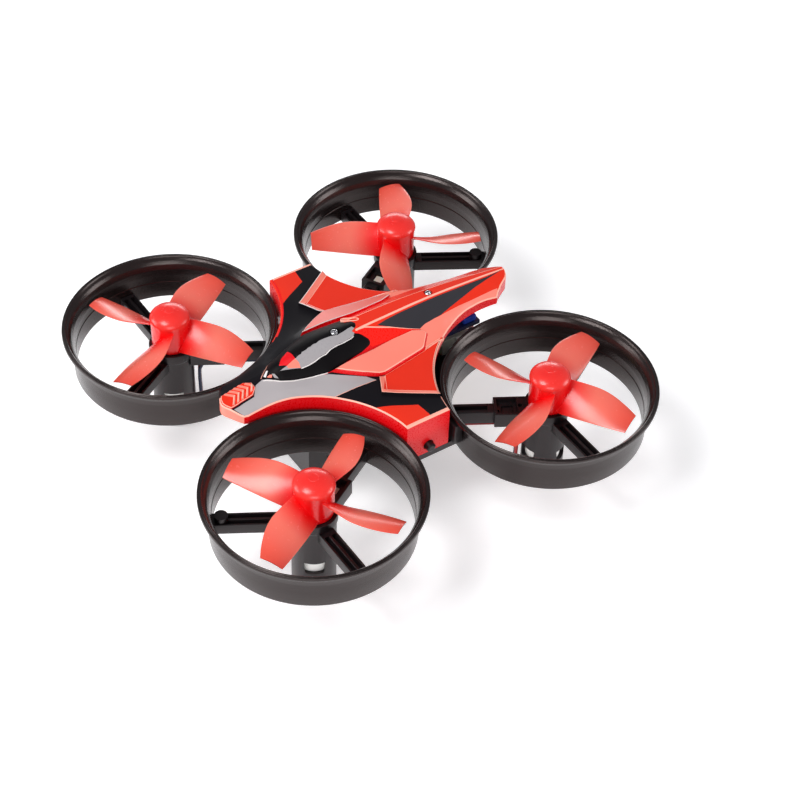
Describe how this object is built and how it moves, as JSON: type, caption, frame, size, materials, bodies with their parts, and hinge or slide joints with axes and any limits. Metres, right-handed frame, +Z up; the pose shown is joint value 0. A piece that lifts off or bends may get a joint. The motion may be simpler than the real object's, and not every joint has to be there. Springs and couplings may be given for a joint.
{
  "type": "mini palm drone",
  "caption": "Palm-sized quadcopter with round ducts, open-topped propellers, a pointed red canopy and a slide-in battery underneath.",
  "frame": {"origin": "on the ground under the middle of the drone, between the motor holders it stands on", "axes": "+Z up, the nose points along -Y and the tail along +Y, +X is the drone's own left side"},
  "size_m": [0.0858, 0.0858, 0.0293],
  "materials": {
    "duct_plastic": "satin black moulded plastic",
    "mount_plastic": "satin black moulded plastic",
    "frame_plastic": "satin black moulded plastic",
    "tray_plastic": "satin black moulded plastic",
    "motor_can_steel": "bright drawn steel can",
    "motor_cap_nylon": "off-white nylon end cap",
    "shaft_steel": "ground steel",
    "propeller_plastic": "glossy coral red, slightly translucent",
    "canopy_plastic": "orange-red, softly glossy",
    "screw_steel": "plated steel",
    "board_laminate": "blue solder mask",
    "chip_resin": "black moulded resin",
    "blue_light": "clear lens over a blue light",
    "red_light": "clear lens over a red light",
    "board_screw_steel": "plated steel",
    "antenna_sleeve": "black sleeve",
    "red_lead": "red insulation",
    "black_lead": "black insulation",
    "white_lead": "white insulation",
    "blue_lead": "blue insulation",
    "battery_wrap": "silver shrink wrap",
    "socket_nylon": "natural nylon",
    "plug_nylon": "natural nylon",
    "battery_lead_red": "red insulation",
    "battery_lead_black": "black insulation"
  },
  "bodies": {
    "frame": {"duct_front_left": "duct_plastic", "motor_mount_front_left": "mount_plastic", "duct_front_right": "duct_plastic", "motor_mount_front_right": "mount_plastic", "duct_rear_right": "duct_plastic", "motor_mount_rear_right": "mount_plastic", "duct_rear_left": "duct_plastic", "motor_mount_rear_left": "mount_plastic", "centre_frame": "frame_plastic", "battery_tray": "tray_plastic", "motor_can_front_left": "motor_can_steel", "motor_cap_front_left": "motor_cap_nylon", "motor_can_front_right": "motor_can_steel", "motor_cap_front_right": "motor_cap_nylon", "motor_can_rear_right": "motor_can_steel", "motor_cap_rear_right": "motor_cap_nylon", "motor_can_rear_left": "motor_can_steel", "motor_cap_rear_left": "motor_cap_nylon", "canopy": "canopy_plastic", "canopy_screw_front": "screw_steel", "canopy_screw_rear": "screw_steel", "circuit_board": "board_laminate", "controller_chip": "chip_resin", "radio_chip": "chip_resin", "gyro_chip": "chip_resin", "motor_driver_front_left": "chip_resin", "motor_driver_front_right": "chip_resin", "motor_driver_rear_right": "chip_resin", "motor_driver_rear_left": "chip_resin", "light_front_left": "red_light", "light_front_right": "red_light", "light_rear_left": "blue_light", "light_rear_right": "blue_light", "board_screw_left": "board_screw_steel", "board_screw_right": "board_screw_steel", "antenna_wire": "antenna_sleeve", "motor_lead_front_left_a": "white_lead", "motor_lead_front_left_b": "black_lead", "motor_lead_front_right_a": "red_lead", "motor_lead_front_right_b": "blue_lead", "motor_lead_rear_right_a": "white_lead", "motor_lead_rear_right_b": "black_lead", "motor_lead_rear_left_a": "red_lead", "motor_lead_rear_left_b": "blue_lead", "battery_socket": "socket_nylon"},
    "rotor_front_left": {"propeller_front_left": "propeller_plastic", "motor_shaft_front_left": "shaft_steel"},
    "rotor_front_right": {"propeller_front_right": "propeller_plastic", "motor_shaft_front_right": "shaft_steel"},
    "rotor_rear_right": {"propeller_rear_right": "propeller_plastic", "motor_shaft_rear_right": "shaft_steel"},
    "rotor_rear_left": {"propeller_rear_left": "propeller_plastic", "motor_shaft_rear_left": "shaft_steel"},
    "battery_pack": {"battery": "battery_wrap", "battery_plug": "plug_nylon", "battery_lead_red": "battery_lead_red", "battery_lead_black": "battery_lead_black"}
  },
  "joints": [
    {"name": "spin_front_left", "type": "hinge", "parent": "frame", "child": "rotor_front_left", "pos_m": [0.0239, -0.0239, 0.0219], "axis": [0, 0, 1], "continuous": true},
    {"name": "spin_front_right", "type": "hinge", "parent": "frame", "child": "rotor_front_right", "pos_m": [-0.0239, -0.0239, 0.0219], "axis": [0, 0, 1], "continuous": true},
    {"name": "spin_rear_right", "type": "hinge", "parent": "frame", "child": "rotor_rear_right", "pos_m": [-0.0239, 0.0239, 0.0219], "axis": [0, 0, 1], "continuous": true},
    {"name": "spin_rear_left", "type": "hinge", "parent": "frame", "child": "rotor_rear_left", "pos_m": [0.0239, 0.0239, 0.0219], "axis": [0, 0, 1], "continuous": true},
    {"name": "battery_slide", "type": "slide", "parent": "frame", "child": "battery_pack", "axis": [0, 1, 0], "range_m": [0, 0.032]}
  ]
}
